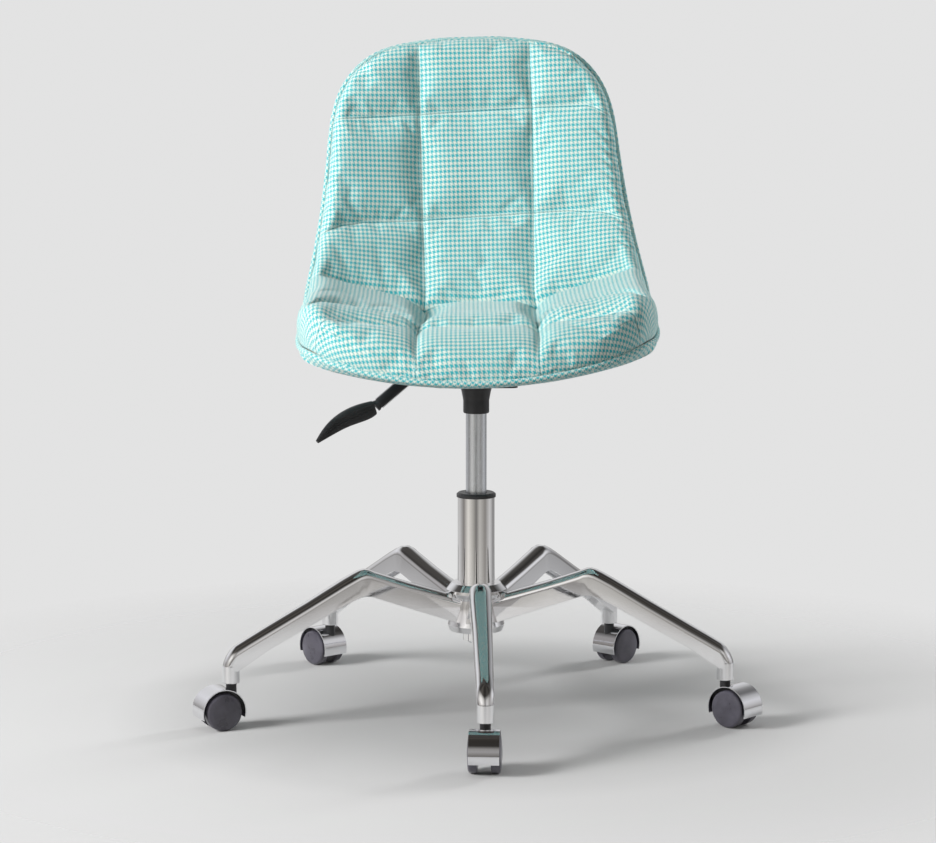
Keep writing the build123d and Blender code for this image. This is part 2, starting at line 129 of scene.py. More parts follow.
def surface(x, s, depth):
    """Point of the shell's own frame in millimetres, at a depth under the sitting surface."""
    cy, cz, turn, rise = row(s)[:4]
    radius = (SECTION_HALF ** 2 + rise ** 2) / (2 * rise)
    root = np.sqrt(radius ** 2 - x ** 2)
    slope = x / root
    size = np.sqrt(1 + slope ** 2)
    side = x + depth * slope / size
    up = radius - root - depth / size
    a = np.radians(turn)
    return np.stack([side, cy - up * np.cos(a), cz + up * np.sin(a)], -1)


def place(p):
    """Leans the shell's own frame on the column and turns it into metres."""
    x, y, z = p[..., 0], p[..., 1], p[..., 2] - ROLL_CENTRE
    c, s = math.cos(SEAT_ROLL), math.sin(SEAT_ROLL)
    return np.stack([SEAT_SHIFT + x * c - z * s, y, ROLL_CENTRE - SEAT_DROP + x * s + z * c], -1) * MM


def inside(x, s, depth=0.0):
    """Whether the points lie within the outline seen from the front and from above."""
    p = surface(x, s, depth)
    limit = np.interp(-p[..., 2], -BELL_LINE[::-1, 1], BELL_LINE[::-1, 0])
    front = np.interp(p[..., 0], FRONT_LINE[::-1, 0], FRONT_LINE[::-1, 1])
    return (p[..., 2] <= SHELL_TOP) & (p[..., 0] <= limit) & (p[..., 1] >= front)


def outline_half():
    """Right half of the cover's outline in (x, s), from the middle of the top to the front."""
    mid = np.linspace(0, RUN[-1], 4000)
    ok = inside(np.full_like(mid, 0.5), mid)
    first, last = mid[ok][0], mid[ok][-1]
    k = 0.5 - 0.5 * np.cos(np.linspace(0, math.pi, 500))
    s = first + (last - first) * k
    lo, hi = np.zeros_like(s), np.full_like(s, 239.0)
    for _ in range(30):
        m = (lo + hi) / 2
        good = inside(m, s)
        lo, hi = np.where(good, m, lo), np.where(good, hi, m)
    lo[0] = lo[-1] = 0
    return np.stack([lo, s], -1)


def resample(line, count):
    """The same line with its points evenly spaced."""
    t = np.concatenate([[0], np.cumsum(np.hypot(*np.diff(line, axis=0).T))])
    at = np.linspace(0, t[-1], count)
    return np.stack([np.interp(at, t, line[:, 0]), np.interp(at, t, line[:, 1])], -1)


HALF = outline_half()
# The grid's corners sit on the outline 150 mm out at the top and 200 mm out at the front.
MID = len(HALF) // 2
top_corner = int(np.argmin(np.abs(HALF[:MID, 0] - 150)))
low_corner = MID + int(np.argmin(np.abs(HALF[MID:, 0] - 200) + 1e3 * (HALF[MID:, 1] < RUN[11])))
flip = np.array([-1.0, 1.0])
U = np.linspace(0, 1, ACROSS + 1)[None, :, None]
V = np.linspace(0, 1, ALONG + 1)[:, None, None]


def coons(top, low, left, right):
    """Grid of points spanned between four border lines."""
    return (1 - V) * top[None] + V * low[None] + (1 - U) * left[:, None] + U * right[:, None] \
        - ((1 - U) * (1 - V) * top[0] + U * (1 - V) * top[-1] + (1 - U) * V * low[0]
           + U * V * low[-1])


RIGHT_SIDE = resample(HALF[top_corner:low_corner + 1], ALONG + 1)
GRID = coons(resample(np.concatenate([HALF[top_corner::-1] * flip, HALF[1:top_corner + 1]]), ACROSS + 1),
             resample(np.concatenate([HALF[low_corner:] * flip, HALF[low_corner:-1][::-1]]), ACROSS + 1),
             RIGHT_SIDE * flip, RIGHT_SIDE)


def rim_indices():
    """Numbers of the grid's border points, in order round the rim."""
    w = ACROSS + 1
    top = list(range(ACROSS))
    right = [j * w + ACROSS for j in range(ALONG)]
    low_edge = [ALONG * w + i for i in range(ACROSS, 0, -1)]
    left = [j * w for j in range(ALONG, 0, -1)]
    return top + right + low_edge + left


def nearest(points, line):
    """Distance of each (x, s) point from a polyline of close points, and which one is nearest."""
    out = np.full(len(points), 1e9)
    which = np.zeros(len(points), int)
    for i in range(0, len(points), 4000):
        p = points[i:i + 4000]
        d = np.hypot(p[:, None, 0] - line[None, :, 0], p[:, None, 1] - line[None, :, 1])
        out[i:i + 4000] = d.min(1)
        which[i:i + 4000] = d.argmin(1)
    return out, which


# ------------------------------------------------------------------ seams, in (x, s)
def curve_through(*points):
    """Smooth function through given (place, value) points."""
    p = np.array(points, float)
    fine = np.linspace(p[0, 0], p[-1, 0], 300)
    value = np.interp(fine, p[:, 0], p[:, 1])
    for _ in range(12):
        value[1:-1] = (value[:-2] + 2 * value[1:-1] + value[2:]) / 4
    return lambda q: np.interp(q, fine, value)


long_left = curve_through((-20, 72), (110, 72), (258, 71), (382, 69), (415, 66), (520, 70), (603, 77),
                          (671, 78), (730, 78))
long_right = curve_through((-20, 80), (63, 81), (100, 82), (249, 80), (366, 77), (554, 76), (609, 77),
                           (650, 78), (730, 75))
row1 = curve_through((-245, 128), (-186, 114), (-74, 107), (5, 103), (83, 101), (160, 103), (180, 113),
                     (205, 130), (245, 150))
row2 = curve_through((-245, 315), (-213, 287), (-184, 270), (-152, 262), (-72, 256), (1, 251),
                     (79, 249), (128, 250), (176, 258), (208, 274), (245, 300))
crease = curve_through((-245, 372), (-170, 367), (-119, 372), (-69, 383), (0, 375), (77, 385),
                       (110, 378), (155, 371), (203, 371), (245, 378))
fold = curve_through((0, 575), (72, 580), (95, 556), (120, 543), (155, 538), (180, 545), (200, 560),
                     (214, 585), (245, 620))
low = curve_through((0, 593), (68, 593), (78, 603), (101, 604), (125, 610), (150, 614), (172, 620),
                    (187, 628), (199, 636), (209, 644), (245, 665))


NOWHERE = 900                   # keeps the fold seam out of the middle panel


def seam_offsets(x, s):
    """Each seam's name, signed distance from it, tuck depth and tuck width, in millimetres."""
    ax = np.abs(x)
    across = np.where(x < 0, -x - long_left(s), x - long_right(s))
    hold = np.clip((s - 372) / 20, 0, 1) * np.clip((640 - s) / 40, 0, 1)
    return [
        ("seam_long", across, 4.5 + 6.0 * hold, 5.5),
        ("seam_row1", s - row1(x), 2.6, 4.5),
        ("seam_row2", s - row2(x), 4.2, 5.0),
        ("seam_crease", s - crease(x), 12.0, 9.0),
        ("seam_fold", s - fold(ax) + np.where(ax < 76, NOWHERE, 0), 8.0, 7.0),
        ("seam_low", (s - low(ax)) / np.sqrt(1 + np.clip((ax - 150) / 40, 0, 1.3) ** 2), 6.5, 6.0),
    ]


def align_grid():
    """Slides the grid's lines so that whole rows and columns lie along the seams."""
    gap = 1.3                   # least distance between two rows
    middle = GRID[ALONG // 2, :, 0]
    i_left = int(np.argmin(np.abs(middle + 72)))
    i_right = int(np.argmin(np.abs(middle - 79)))
    for j in range(1, ALONG):
        x = GRID[j, :, 0]
        run = GRID[j, ACROSS // 2, 1]
        aim = [x[0], -float(long_left(run)), float(long_right(run)), x[-1]]
        GRID[j, :, 0] = np.interp(x, [x[0], x[i_left], x[i_right], x[-1]], aim)
    column = GRID[:, ACROSS // 2, 1].copy()
    picks = [int(np.argmin(np.abs(column - s))) for s in (104, 251, 375, 560, 593)]
    for i in range(ACROSS + 1):
        x, s = GRID[:, i, 0].copy(), GRID[:, i, 1].copy()
        at = [row1(x[picks[0]]), row2(x[picks[1]]), crease(x[picks[2]]), fold(abs(x[picks[3]])),
              low(abs(x[picks[4]]))]
        at = [float(v) for v in at]
        if abs(x[picks[3]]) < 74:
            at[3] = at[4] - 22
        at = [min(value, s[-1] - gap * (ALONG - j)) for value, j in zip(at, picks)]
        GRID[:, i, 1] = np.interp(s, [s[0]] + [s[j] for j in picks] + [s[-1]], [s[0]] + at + [s[-1]])
    for j in range(1, ALONG):
        for i, sign in ((0, -1), (ACROSS, 1)):
            old = abs(GRID[j, i, 0])
            new = float(np.interp(GRID[j, i, 1], HALF[:, 1], HALF[:, 0]))
            side = GRID[j, :, 0] * sign > 0
            GRID[j, side, 0] += sign * (new - old) * (np.abs(GRID[j, side, 0]) / old) ** 3


align_grid()
RIM = np.concatenate([GRID[0, :-1], GRID[:-1, -1], GRID[-1, :0:-1], GRID[:0:-1, 0]])
# Tufted corners where seams cross: place, depth and width.
PINCHES = [((-68, 392), 11.0, 15.0), ((77, 390), 8.0, 13.0), ((-74, 597), 9.0, 13.0),
           ((76, 600), 9.0, 13.0)]
# Short pull creases beside the right edge, by distance down the centre line.
PULLS = [150, 170, 189, 209, 233, 252, 276, 291, 318]


FACE_DEPTH = 6.5
PUFF = 5.0                      # how far a panel rises between its seams


def face_depth(points):
    """Depth of the cover's face under the sitting surface, with its panels, tucks and pinches."""
    x, s = points[:, 0], points[:, 1]
    ax = np.abs(x)
    near = np.full(len(points), 1e9)
    depth = np.full(len(points), FACE_DEPTH)
    held = np.clip((RIM_D - 3) / 40, 0, 1)
    for key, offset, deep, wide in seam_offsets(x, s):
        d = np.abs(offset)
        near = np.minimum(near, d)
        fade = held if key in ("seam_crease", "seam_fold", "seam_low") else 0.35 + 0.65 * held
        depth += deep * fade * np.exp(-np.sqrt(d ** 2 + 0.6) / wide)
    depth -= PUFF * (1 - np.exp(-near / 15.0))
    wedge = np.clip((ax - 82) / 30, 0, 1) * np.clip((225 - ax) / 25, 0, 1)
    between = 0.45 * fold(ax) + 0.55 * low(ax)
    depth -= np.where(x > 0, 8.0, 3.0) * wedge * np.exp(-((s - between) / 26) ** 2)
    roll = np.clip((72 - ax) / 45, 0, 1) ** 0.6
    depth -= 4.0 * roll * np.exp(-((s - 562) / 24) ** 2)
    edge = x - 197 - 0.136 * (s - 158)
    for run in PULLS:
        d = s - run - 0.9 * (edge + 12)
        depth += 3.6 * np.exp(-(d / 4.2) ** 2) * np.exp(-((edge + 11) / 12) ** 2)
    for (px, ps), deep, wide in PINCHES:
        d = np.hypot(x - px, s - ps)
        depth += deep * np.exp(-(d / wide) ** 1.3)
    return depth


# ------------------------------------------------------------------ materials
class Graph:
    """Small helper that writes node expressions."""

    def __init__(self, name):
        self.material = bpy.data.materials.new(name)
        self.material.use_nodes = True
        self.tree = self.material.node_tree
        self.shader = self.tree.nodes["Principled BSDF"]

    def node(self, kind, **settings):
        """New node with its properties set."""
        n = self.tree.nodes.new(kind)
        for key, value in settings.items():
            setattr(n, key, value)
        return n

    def put(self, socket, value):
        """Links a socket, or sets its value."""
        if isinstance(value, bpy.types.NodeSocket):
            self.tree.links.new(value, socket)
        else:
            socket.default_value = value

    def math(self, operation, *values):
        n = self.node("ShaderNodeMath", operation=operation)
        for i, value in enumerate(values):
            self.put(n.inputs[i], value)
        return n.outputs[0]

    def mix(self, factor, a, b, blend="MIX"):
        n = self.node("ShaderNodeMix", data_type="RGBA", blend_type=blend)
        self.put(n.inputs[0], factor)
        self.put(n.inputs[6], a)
        self.put(n.inputs[7], b)
        return n.outputs[2]

    def noise(self, scale, detail=3.0, vector=None):
        """Fractal noise, over object coordinates unless a vector is given."""
        n = self.node("ShaderNodeTexNoise")
        n.inputs["Scale"].default_value = scale
        n.inputs["Detail"].default_value = detail
        if vector is None:
            vector = self.node("ShaderNodeTexCoord").outputs["Object"]
        self.put(n.inputs["Vector"], vector)
        return n.outputs["Fac"]

    def span(self, value, a, b, c=0.0, d=1.0):
        """Maps a..b to c..d, clamped."""
        n = self.node("ShaderNodeMapRange")
        for i, x in enumerate((value, a, b, c, d)):
            self.put(n.inputs[i], x)
        return n.outputs[0]

    def set(self, **values):
        """Sets or links the shader's inputs by name."""
        for key, value in values.items():
            self.put(self.shader.inputs[key.replace("_", " ")], value)

    def bump(self, height, strength, distance, normal=None):
        n = self.node("ShaderNodeBump")
        n.inputs["Strength"].default_value = strength
        n.inputs["Distance"].default_value = distance
        self.put(n.inputs["Height"], height)
        if normal is not None:
            self.put(n.inputs["Normal"], normal)
        self.put(self.shader.inputs["Normal"], n.outputs[0])


def rgb(r, g, b):
    """Linear colour of an 0-255 sRGB triple."""
    def one(c):
        c /= 255
        return c / 12.92 if c <= 0.04045 else ((c + 0.055) / 1.055) ** 2.4
    return one(r), one(g), one(b), 1.0


REPEAT = 8.0                    # yarns in one check, half of them dark


def houndstooth(name, seams=True):
    """Twill woven four dark, four light yarns each way, on the piece's own UV map."""
    g = Graph(name)
    uv = g.node("ShaderNodeUVMap", uv_map="Cloth").outputs[0]
    parts = g.node("ShaderNodeSeparateXYZ")
    g.put(parts.inputs[0], uv)
    a = g.math("DIVIDE", parts.outputs[0], THREAD[0])
    b = g.math("DIVIDE", parts.outputs[1], THREAD[1])
    wobble = g.noise(900, 2)
    a = g.math("ADD", a, g.math("MULTIPLY", wobble, 0.5))
    i, j = g.math("FLOOR", a), g.math("FLOOR", b)
    fa, fb = g.math("FRACT", a), g.math("FRACT", b)
    twill = g.math("FLOORED_MODULO", g.math("SUBTRACT", i, j), 4.0)
    warp_up = g.math("LESS_THAN", twill, 1.5)
    warp_dark = g.math("LESS_THAN", g.math("FLOORED_MODULO", i, REPEAT), REPEAT / 2 - 0.5)
    weft_dark = g.math("LESS_THAN", g.math("FLOORED_MODULO", j, REPEAT), REPEAT / 2 - 0.5)
    dark = g.math("ADD", g.math("MULTIPLY", warp_up, warp_dark),
                  g.math("MULTIPLY", g.math("SUBTRACT", 1.0, warp_up), weft_dark))
    heather = g.noise(2600, 2)
    slow = g.noise(22, 3)
    teal = g.mix(g.span(heather, 0.3, 0.7), rgb(6, 146, 158), rgb(58, 190, 200))
    cream = g.mix(g.span(heather, 0.3, 0.7), rgb(188, 218, 212), rgb(242, 228, 212))
    colour = g.mix(dark, cream, teal)
    colour = g.mix(g.span(slow, 0.3, 0.7, 0.0, 0.12), colour, rgb(150, 214, 214))
    round_a = g.math("SINE", g.math("MULTIPLY", fa, math.pi))
    round_b = g.math("SINE", g.math("MULTIPLY", fb, math.pi))
    height = g.math("ADD", g.math("MULTIPLY", warp_up, round_a),
                    g.math("MULTIPLY", g.math("SUBTRACT", 1.0, warp_up), round_b))
    # Painted shade between the yarns: the colour darkens where each yarn's height falls off.
    gap = g.span(height, 0.0, 0.45, 0.62, 1.0)
    shade = g.node("ShaderNodeCombineColor")
    for k in range(3):
        g.put(shade.inputs[k], gap)
    colour = g.mix(1.0, colour, shade.outputs[0], "MULTIPLY")
    if seams:
        near = None
        for key in ("seam_long", "seam_row1", "seam_row2", "seam_crease", "seam_fold", "seam_low"):
            one = g.math("ABSOLUTE", g.node("ShaderNodeAttribute", attribute_name=key).outputs["Fac"])
            near = one if near is None else g.math("MINIMUM", near, one)
        colour = g.mix(g.span(near, 0.2, 1.1, 0.45, 0.0), colour, rgb(8, 92, 98))
        thread = g.math("COMPARE", near, 1.9, 0.5)
        colour = g.mix(g.math("MULTIPLY", thread, 0.5), colour, rgb(214, 240, 236))
    fuzz = g.noise(1500, 3)
    g.set(Base_Color=colour, Roughness=g.span(fuzz, 0.3, 0.7, 0.72, 0.95))
    g.shader.inputs["Sheen Weight"].default_value = 0.35
    g.shader.inputs["Sheen Roughness"].default_value = 0.45
    g.shader.inputs["Specular IOR Level"].default_value = 0.25
    g.bump(g.math("ADD", height, g.math("MULTIPLY", fuzz, 0.7)), 0.55, 0.00025)
    return g.material


def metal(name, colour, rough, streak=0.0, bevel=0.0, ripple=0.0):
    """Polished or ground metal with fine marks, faint smears and softened edges."""
    g = Graph(name)
    where = g.node("ShaderNodeTexCoord").outputs["Object"]
    smear = g.noise(14, 4, where)
    spots = g.noise(420, 3, where)
    base = g.mix(g.span(smear, 0.35, 0.7, 0.0, 0.35), colour, tuple(c * 0.9 for c in colour[:3]) + (1,))
    stretch = g.node("ShaderNodeMapping")
    stretch.inputs["Scale"].default_value = (900, 900, 30) if streak else (200, 200, 200)
    g.put(stretch.inputs["Vector"], where)
    lines = g.noise(1.0, 2, stretch.outputs[0])
    r = g.math("ADD", g.span(smear, 0.3, 0.75, rough, rough + 0.05),
               g.math("MULTIPLY", lines, streak * 0.5 + 0.01))
    g.set(Base_Color=base, Metallic=1.0, Roughness=r)
    normal = None
    if bevel:
        edge = g.node("ShaderNodeBevel", samples=4)
        edge.inputs["Radius"].default_value = bevel
        normal = edge.outputs[0]
    height = g.math("ADD", g.math("MULTIPLY", lines, streak), g.math("MULTIPLY", spots, 0.12))
    if ripple:
        height = g.math("ADD", height, g.math("MULTIPLY", g.noise(9, 2, where), ripple))
    g.bump(height, 0.1, 0.0008, normal)
    return g.material


def plastic(name, low, high, rough, grain=900, bump=0.2, bevel=0.0004, coat=0.0):
    """Moulded plastic with a fine spark-eroded grain and faint handling marks."""
    g = Graph(name)
    grain_noise = g.noise(grain, 2)
    marks = g.noise(45, 4)
    g.set(Base_Color=g.mix(g.span(marks, 0.3, 0.75), low, high),
          Roughness=g.span(marks, 0.3, 0.7, rough - 0.05, rough + 0.08))
    if coat:
        g.shader.inputs["Coat Weight"].default_value = coat
        g.shader.inputs["Coat Roughness"].default_value = 0.12
    edge = g.node("ShaderNodeBevel", samples=4)
    edge.inputs["Radius"].default_value = bevel
    g.bump(grain_noise, bump, 0.0001, edge.outputs[0])
    return g.material


def plywood(name):
    """Birch-coloured veneer with a stretched grain."""
    g = Graph(name)
    where = g.node("ShaderNodeTexCoord").outputs["Object"]
    stretch = g.node("ShaderNodeMapping")
    stretch.inputs["Scale"].default_value = (6, 80, 80)
    g.put(stretch.inputs["Vector"], where)
    grain = g.noise(4, 6, stretch.outputs[0])
    g.set(Base_Color=g.mix(grain, rgb(150, 112, 70), rgb(206, 168, 118)), Roughness=0.6)
    g.bump(grain, 0.2, 0.0003)
    return g.material


CLOTH = houndstooth("houndstooth_cloth")
PLAIN_CLOTH = houndstooth("houndstooth_piping", seams=False)
MATERIALS = {
    "chrome_casting": metal("polished_casting", (0.92, 0.92, 0.93, 1), 0.035, bevel=0.0012, ripple=2.0),
    "chrome_tube": metal("polished_tube", (0.93, 0.92, 0.91, 1), 0.03, streak=0.1),
    "chrome_hood": metal("plated_hood", (0.86, 0.86, 0.88, 1), 0.04, bevel=0.0005, ripple=1.0),
    "satin_steel": metal("ground_cylinder", (0.82, 0.85, 0.88, 1), 0.13, streak=0.6),
    "zinc_steel": metal("zinc_steel", (0.56, 0.57, 0.60, 1), 0.3, bevel=0.0004),
    "black_metal": plastic("powder_coat", (0.012, 0.012, 0.012, 1), (0.03, 0.03, 0.03, 1), 0.5, 700, 0.4),
    "black_plastic": plastic("black_plastic", (0.012, 0.012, 0.013, 1), (0.03, 0.03, 0.032, 1), 0.38),
    "white_plastic": plastic("acetal", rgb(206, 206, 198), rgb(226, 226, 220), 0.4),
    "wheel_grey": plastic("wheel_nylon", rgb(62, 60, 68), rgb(86, 84, 94), 0.3, bevel=0.0006, coat=0.3),
    "stop_rubber": plastic("stop_rubber", (0.02, 0.02, 0.02, 1), (0.04, 0.04, 0.04, 1), 0.8, 500, 0.5),
    "shell_plywood": plywood("moulded_plywood"),
    "check_fabric": PLAIN_CLOTH, "rear_fabric": PLAIN_CLOTH, "welt_fabric": PLAIN_CLOTH,
}
for part in frame["record"]["subparts"]:
    mesh = nodes[part["node"]].data
    mesh.materials.clear()
    mesh.materials.append(MATERIALS[part["material_slot"]])


def soften(mesh, angle):
    """Shades faces that meet at less than the angle as one smooth surface."""
    count = len(mesh.loops)
    vertex = np.zeros(count, int)
    mesh.loops.foreach_get("vertex_index", vertex)
    co = np.zeros(len(mesh.vertices) * 3)
    mesh.vertices.foreach_get("co", co)
    key = np.round(co.reshape(-1, 3) / 2e-6).astype(np.int64)
    group = np.unique(key, axis=0, return_inverse=True)[1].ravel()[vertex]
    normal = np.zeros(len(mesh.polygons) * 3)
    area = np.zeros(len(mesh.polygons))
    size = np.zeros(len(mesh.polygons), int)
    mesh.polygons.foreach_get("normal", normal)
    mesh.polygons.foreach_get("area", area)
    mesh.polygons.foreach_get("loop_total", size)
    face = np.repeat(np.arange(len(size)), size)
    own = normal.reshape(-1, 3)[face]
    weight = area[face]
    order = np.argsort(group, kind="stable")
    g, n, w = group[order], own[order], weight[order]
    total = n * w[:, None]
    for k in range(1, 24):
        same = g[k:] == g[:-k]
        if not same.any():
            break
        near = same & ((n[k:] * n[:-k]).sum(1) > math.cos(angle))
        total[k:][near] += n[:-k][near] * w[:-k][near, None]
        total[:-k][near] += n[k:][near] * w[k:][near, None]
    total /= np.maximum(np.linalg.norm(total, axis=1), 1e-12)[:, None]
    out = np.zeros_like(total)
    out[order] = total
    for f in mesh.polygons:
        f.use_smooth = True
    mesh.normals_split_custom_set([tuple(p) for p in out])


for name, o in nodes.items():
    if name.startswith(("star_base", "lever_handle", "taper_collar")):
        soften(o.data, math.radians(28))


# ------------------------------------------------------------------ mesh helpers
def new_object(name, verts, faces, material, uv=None, attributes=None):
    """Mesh object from numpy vertices in metres, with a cloth UV per vertex."""
    mesh = bpy.data.meshes.new(name)
    mesh.from_pydata([tuple(p) for p in verts], [], [tuple(f) for f in faces])
    mesh.materials.append(material)
    for f in mesh.polygons:
        f.use_smooth = True
    if uv is not None:
        layer = mesh.uv_layers.new(name="Cloth")
        index = np.zeros(len(mesh.loops), int)
        mesh.loops.foreach_get("vertex_index", index)
        layer.data.foreach_set("uv", np.asarray(uv)[index].astype(np.float32).ravel())
    for key, values in (attributes or {}).items():
        data = mesh.attributes.new(key, "FLOAT", "POINT").data
        data.foreach_set("value", np.asarray(values, np.float32))
    mesh.validate()
    o = bpy.data.objects.new(name, mesh)
    scene.collection.objects.link(o)
    return o


def coordinates(o):
    """The mesh's vertices as an array."""
    co = np.zeros(len(o.data.vertices) * 3, np.float32)
    o.data.vertices.foreach_get("co", co)
    return co.reshape(-1, 3).astype(float)


def set_coordinates(o, co):
    """Moves the mesh's vertices."""
    o.data.vertices.foreach_set("co", np.asarray(co, np.float32).ravel())
    o.data.update()


def apply_modifiers(o):
    """Keeps the evaluated mesh and drops the modifiers."""
    graph = bpy.context.evaluated_depsgraph_get()
    mesh = bpy.data.meshes.new_from_object(o.evaluated_get(graph), preserve_all_data_layers=True,
                                           depsgraph=graph)
    o.modifiers.clear()
    o.data = mesh


def subdivide(o):
    """One smoothing subdivision, kept in the mesh."""
    m = o.modifiers.new("smooth", "SUBSURF")
    m.levels = m.render_levels = 1
    apply_modifiers(o)


def quads(rows, columns, reverse=False):
    """Faces of a grid of points."""
    out = []
    for j in range(rows):
        for i in range(columns):
            k = j * (columns + 1) + i
            q = (k, k + columns + 1, k + columns + 2, k + 1)
            out.append(q[::-1] if reverse else q)
    return out


def rim_out(points):
    """Outward direction at each rim point in (x, s)."""
    ahead, back = np.roll(points, -1, 0), np.roll(points, 1, 0)
    t = ahead - back
    n = np.stack([t[:, 1], -t[:, 0]], -1)
    n /= np.linalg.norm(n, axis=1)[:, None]
    centre = points.mean(0)
    sign = np.sign(((points - centre) * n).sum(1).mean())
    return n * sign


FLAT = GRID.reshape(-1, 2)
RIM_D, RIM_NEAR = nearest(FLAT, RIM)
OUT = rim_out(RIM)
RIM_INDEX = rim_indices()


def rim_at(depth):
    """Rim points (x, s) slid along the surface to meet the shell's outline at each depth."""
    lo, hi = np.full(len(RIM), -30.0), np.full(len(RIM), 60.0)
    for _ in range(24):
        m = (lo + hi) / 2
        q = RIM - OUT * m[:, None]
        good = inside(np.abs(q[:, 0]), q[:, 1], depth) & (q[:, 1] >= 0) & (q[:, 1] <= RUN[-1])
        lo, hi = np.where(good, lo, m), np.where(good, m, hi)
    q = RIM - OUT * hi[:, None]
    for _ in range(3):
        q = (np.roll(q, 1, 0) + 2 * q + np.roll(q, -1, 0)) / 4
    return q


# Outward direction of the rim in space.
RIM_OUT = surface(*(RIM - 6 * OUT).T, 0.0) - surface(*(RIM - 9 * OUT).T, 0.0)
RIM_OUT /= np.linalg.norm(RIM_OUT, axis=1)[:, None]


def rim_ring(depth, outward):
    """A ring of points on the outline at a depth, moved outwards a little."""
    q = rim_at(depth)
    return surface(q[:, 0], q[:, 1], depth) + RIM_OUT * outward


def cloth_uv(q, extra):
    """Metres of cloth across and along at (x, s), with extra length past a rounded rim."""
    rise = row(q[:, 1])[3]
    radius = (SECTION_HALF ** 2 + rise ** 2) / (2 * rise)
    across = radius * np.arcsin(np.clip(q[:, 0] / radius, -1, 1))
    return (np.stack([across, q[:, 1]], -1) + extra) * MM


def warped(depth_rim, reach):
    """The flat grid with its border slid onto the outline at a depth."""
    d = rim_at(depth_rim) - RIM
    n, m = ACROSS, ALONG
    blend = coons(d[:n + 1], d[n + m:2 * n + m + 1][::-1],
                  np.concatenate([d[2 * n + m:], d[:1]])[::-1], d[n:n + m + 1])
    return FLAT + blend.reshape(-1, 2) * np.exp(-RIM_D / reach)[:, None]


HALF_WIDTH = 236.0


def shell_piece(depth_top, radius, rings, depth_back, reach, flip_faces=False):
    """Closed soft piece: a face grid, rings round its rim, and a back grid.

    radius is that of the rounded rim, rings a list of (depth along the rim, outward offset)
    pairs of arrays, and reach how far in the outline's shift is felt."""
    face = warped(depth_top[RIM_INDEX], reach)
    verts = [surface(face[:, 0], face[:, 1], depth_top)]
    k = np.clip(radius - RIM_D, 0, radius)
    uv = [cloth_uv(face, OUT[RIM_NEAR] * (radius * np.arcsin(k / radius) - k)[:, None])]
    flow = 0.57 * radius[RIM_INDEX]
    previous = verts[0][RIM_INDEX]
    for depth, outward in rings:
        p = rim_ring(depth, outward[:, None])
        flow = flow + np.linalg.norm(p - previous, axis=1)
        previous = p
        verts.append(p)
        uv.append(cloth_uv(face[RIM_INDEX], OUT * flow[:, None]))
    n = len(FLAT)
    count = len(RIM)
    faces = quads(ALONG, ACROSS, flip_faces)
    loop = np.array(RIM_INDEX)
    for k in range(len(rings)):
        after = n + k * count + np.arange(count)
        for i in range(count):
            j = (i + 1) % count
            q = (loop[i], loop[j], after[j], after[i])
            faces.append(q[::-1] if flip_faces else q)
        loop = after
    start = n + len(rings) * count
    pull = 1.3 * np.linalg.norm(rim_at(rings[-1][0]) - RIM, axis=1).max()
    centre = np.array([0.0, RUN[-1] / 2])
    squeezed = centre + (FLAT - centre) * (1 - pull / np.array([HALF_WIDTH, RUN[-1] / 2]))
    inner = surface(squeezed[:, 0], squeezed[:, 1], depth_back)
    keep = np.ones(n, bool)
    keep[RIM_INDEX] = False
    number = np.zeros(n, int)
    number[keep] = start + np.arange(keep.sum())
    number[RIM_INDEX] = loop
    verts.append(inner[keep])
    uv.append(cloth_uv(face[keep], 0.0))
    for q in quads(ALONG, ACROSS, not flip_faces):
        faces.append(tuple(number[k] for k in q))
    return np.concatenate(verts), faces, np.concatenate(uv)


PAD, SHELL, COVER = (4, 5), (6, 7), (8, 9)      # each layer's columns among the sections
SLIDE = 30.0                    # how far in from the rim the cushion's outline shift is felt
REAR_ROUND = 16.0


def layer_depth(x, s, layer):
    """Depth of a layer's lower face."""
    values = row(s)
    centre, side = values[layer[0]], values[layer[1]]
    return centre + (side - centre) * (x / SECTION_HALF) ** 2


def rim_drop(d, radius):
    """How far a rounded edge of that radius falls at a distance d from the rim."""
    k = np.clip(radius - d, 0, radius)
    return radius - np.sqrt(radius ** 2 - k ** 2)


# ------------------------------------------------------------------ front cushion
N_FACE = len(FLAT)
COUNT = len(RIM)
X, S = FLAT[:, 0], FLAT[:, 1]
RX, RS = RIM[:, 0], RIM[:, 1]
thick = layer_depth(X, S, PAD)
rounding = np.clip(0.62 * (thick - 8.0), 3.0, 15.0)
flat_depth = 8.0 + (face_depth(FLAT) - 8.0) * np.clip((thick - 4) / 30, 0.25, 1)
cushion_depth = flat_depth + rim_drop(RIM_D, rounding)
rim_depth = cushion_depth[RIM_INDEX]
foot = np.maximum(layer_depth(RX, RS, PAD) - 0.5, rim_depth + 2.0)
upper = np.clip((430 - RS) / 60, 0, 1)      # 1 along the back, 0 along the seat
bulge = 1.6 - 1.6 * upper
wall = []
for k in (0.12, 0.3, 0.5, 0.7, 0.88, 1.0):
    wall.append((rim_depth + (foot - rim_depth) * k, bulge * np.sin(math.pi * min(k * 1.1, 1.0))))
back = np.maximum(thick - 1.0, cushion_depth + 1.0)
verts, faces, uv = shell_piece(cushion_depth, rounding, wall, back, SLIDE)
on_face = np.full((len(verts), 2), 1e4)
on_face[:N_FACE] = warped(rim_depth, SLIDE)
for k in range(len(wall)):
    on_face[N_FACE + k * COUNT:N_FACE + (k + 1) * COUNT] = on_face[RIM_INDEX]
seam_values = {key: np.clip(offset, -20, 20)
               for key, offset, _, _ in seam_offsets(on_face[:, 0], on_face[:, 1])}
cushion = new_object("seat_cushion", place(verts), faces, CLOTH, uv, seam_values)


